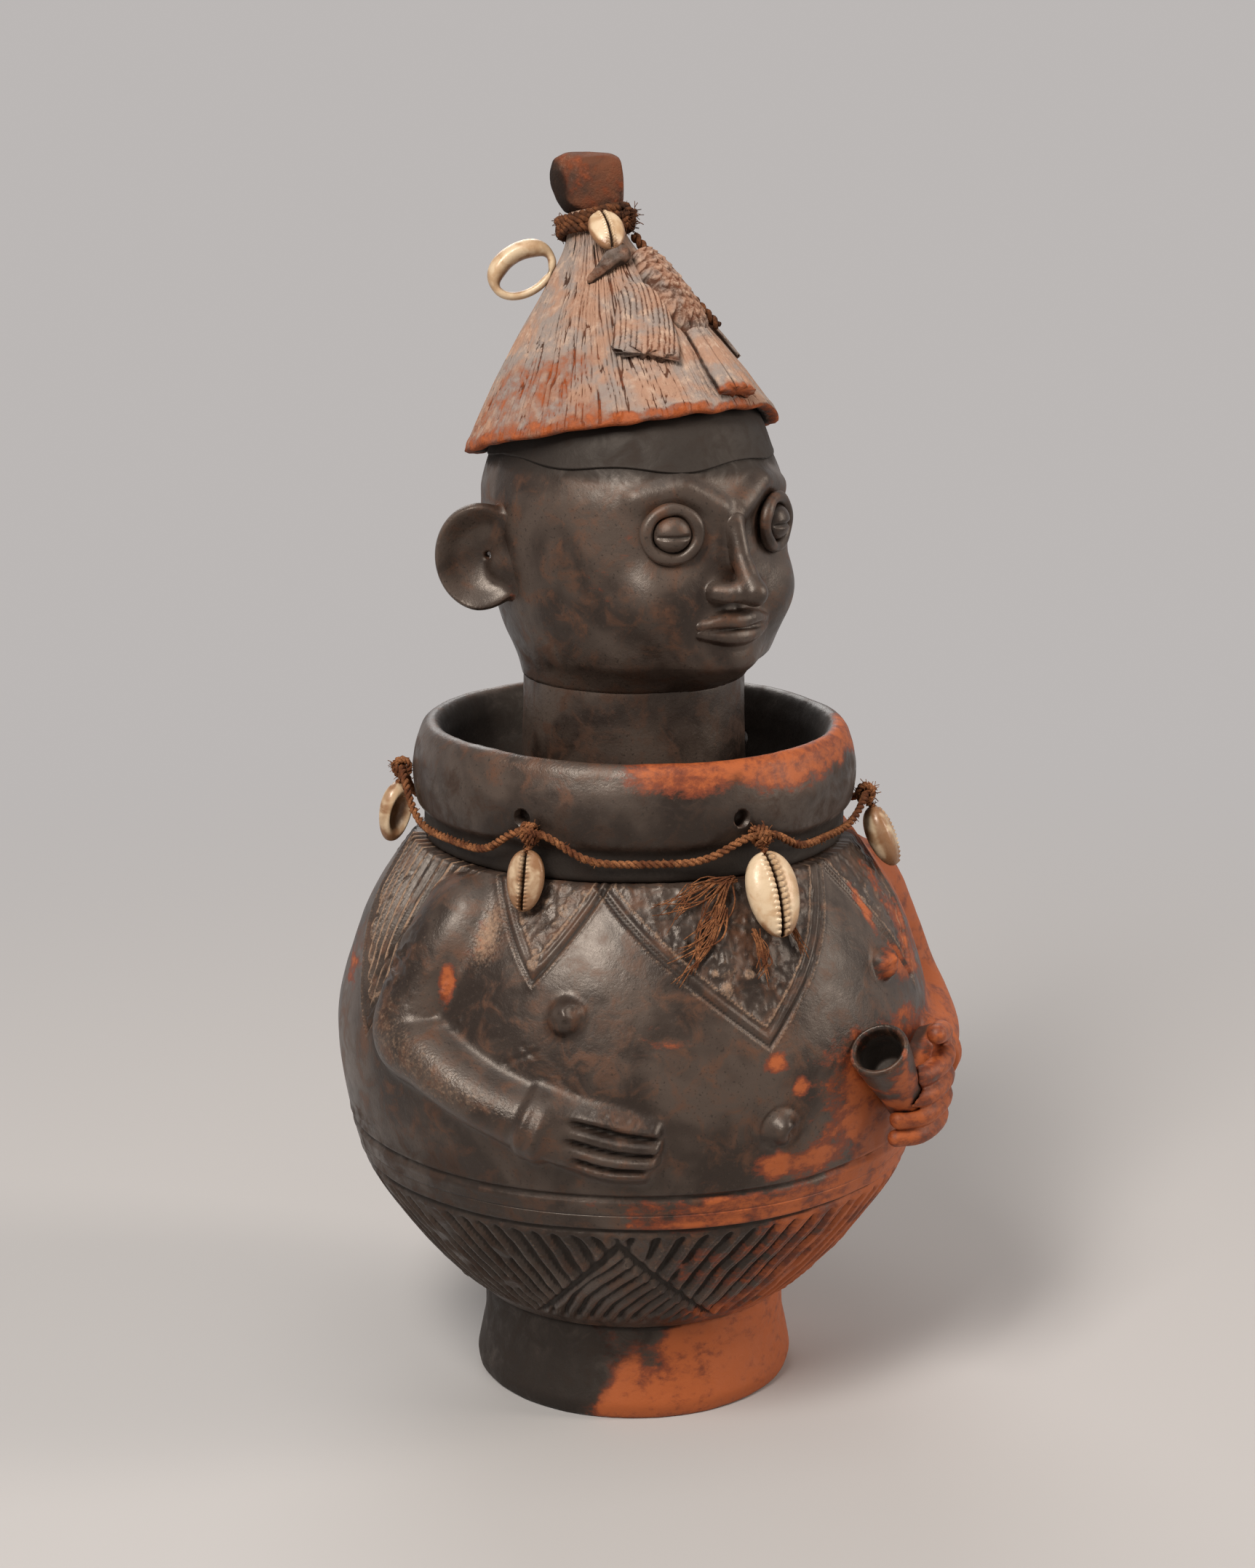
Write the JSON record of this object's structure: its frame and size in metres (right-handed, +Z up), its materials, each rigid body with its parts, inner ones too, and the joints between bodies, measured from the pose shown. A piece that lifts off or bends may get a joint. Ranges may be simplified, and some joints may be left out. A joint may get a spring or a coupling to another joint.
{
  "type": "terracotta figure vessel",
  "caption": "Round clay pot modelled as a figure's body, closed by a lift-out head stopper with a lift-off conical hat, and hung with cowrie shells on a cord.",
  "frame": {"origin": "middle of the part's footprint, on the plane that the foot rests on; the pot's axis stands 1.8 mm to -X and 4.2 mm to +Y of it", "axes": "+Z up along the pot's axis, -Y towards the figure's front, +X towards the figure's left hand"},
  "size_m": [0.1743, 0.1718, 0.3365],
  "materials": {
    "smoked_clay": "low-fired clay, smoked dark and burnished, worn and stained",
    "bare_clay": "low-fired clay, matte orange red where the smoke is worn away",
    "dusty_clay": "low-fired clay, scored and dusty, rubbed orange on its edges",
    "cowrie_shell": "polished money cowrie, cream with worn tan ends",
    "fibre": "hand-twisted plant fibre cord, reddish brown"
  },
  "bodies": {
    "vessel": {"foot_ring": "bare_clay", "lower_bowl": "smoked_clay", "upper_belly": "smoked_clay", "rim_collar": "smoked_clay", "right_arm": "smoked_clay", "left_arm": "bare_clay", "right_bracelet": "smoked_clay", "left_bracelet": "bare_clay", "right_hand": "smoked_clay", "left_fist": "bare_clay", "drinking_cup": "smoked_clay", "right_breast_boss": "smoked_clay", "left_breast_boss": "smoked_clay", "navel_boss": "smoked_clay", "collar_cord": "fibre", "fibre_tassel": "fibre", "cord_knot_1": "fibre", "cord_knot_2": "fibre", "cord_knot_3": "fibre", "cord_knot_4": "fibre", "cord_knot_5": "fibre", "cord_knot_6": "fibre"},
    "head": {"neck_stopper": "smoked_clay", "head_shell": "smoked_clay", "hair_cap": "smoked_clay", "right_ear": "smoked_clay", "left_ear": "smoked_clay", "right_eye_ring": "smoked_clay", "left_eye_ring": "smoked_clay", "right_eyeball": "smoked_clay", "left_eyeball": "smoked_clay", "nose": "smoked_clay", "upper_lip": "smoked_clay", "lower_lip": "smoked_clay"},
    "hat": {"hat_cone": "dusty_clay", "finial_knob": "dusty_clay", "bird_body": "dusty_clay", "bird_head": "dusty_clay", "bird_right_wing": "dusty_clay", "bird_left_wing": "dusty_clay", "bird_tail": "dusty_clay", "hat_cord_wrap": "fibre", "hat_cord_tail": "fibre", "hat_front_cowrie": "cowrie_shell", "hat_ring_cowrie": "cowrie_shell"},
    "cowrie_1": {"cowrie_1": "cowrie_shell"},
    "cowrie_2": {"cowrie_2": "cowrie_shell"},
    "cowrie_3": {"cowrie_3": "cowrie_shell"},
    "cowrie_4": {"cowrie_4": "cowrie_shell"},
    "cowrie_5": {"cowrie_5": "cowrie_shell"},
    "cowrie_6": {"cowrie_6": "cowrie_shell"}
  },
  "joints": [
    {"name": "head_lift", "type": "slide", "parent": "vessel", "child": "head", "axis": [0, 0, 1], "range_m": [0, 0.08]},
    {"name": "hat_lift", "type": "slide", "parent": "head", "child": "hat", "axis": [-0.0447, 0.21, 0.9767], "range_m": [0, 0.06]},
    {"name": "cowrie_1_swing", "type": "hinge", "parent": "vessel", "child": "cowrie_1", "pos_m": [-0.0607, 0.02681, 0.1736], "axis": [0.3584, 0.9336, 0], "range_deg": [0, 70]},
    {"name": "cowrie_2_swing", "type": "hinge", "parent": "vessel", "child": "cowrie_2", "pos_m": [-0.05083, -0.0355, 0.1686], "axis": [-0.6293, 0.7771, 0], "range_deg": [0, 70]},
    {"name": "cowrie_3_swing", "type": "hinge", "parent": "vessel", "child": "cowrie_3", "pos_m": [0.0037, -0.05865, 0.1672], "axis": [-0.9962, -0.0872, 0], "range_deg": [0, 70]},
    {"name": "cowrie_4_swing", "type": "hinge", "parent": "vessel", "child": "cowrie_4", "pos_m": [0.05228, -0.02829, 0.1666], "axis": [-0.515, -0.8572, 0], "range_deg": [0, 70]},
    {"name": "cowrie_5_swing", "type": "hinge", "parent": "vessel", "child": "cowrie_5", "pos_m": [0.05284, 0.03574, 0.1674], "axis": [0.5, -0.866, 0], "range_deg": [0, 70]},
    {"name": "cowrie_6_swing", "type": "hinge", "parent": "vessel", "child": "cowrie_6", "pos_m": [-0.0018, 0.06729, 0.1682], "axis": [1, 0, 0], "range_deg": [0, 70]}
  ]
}
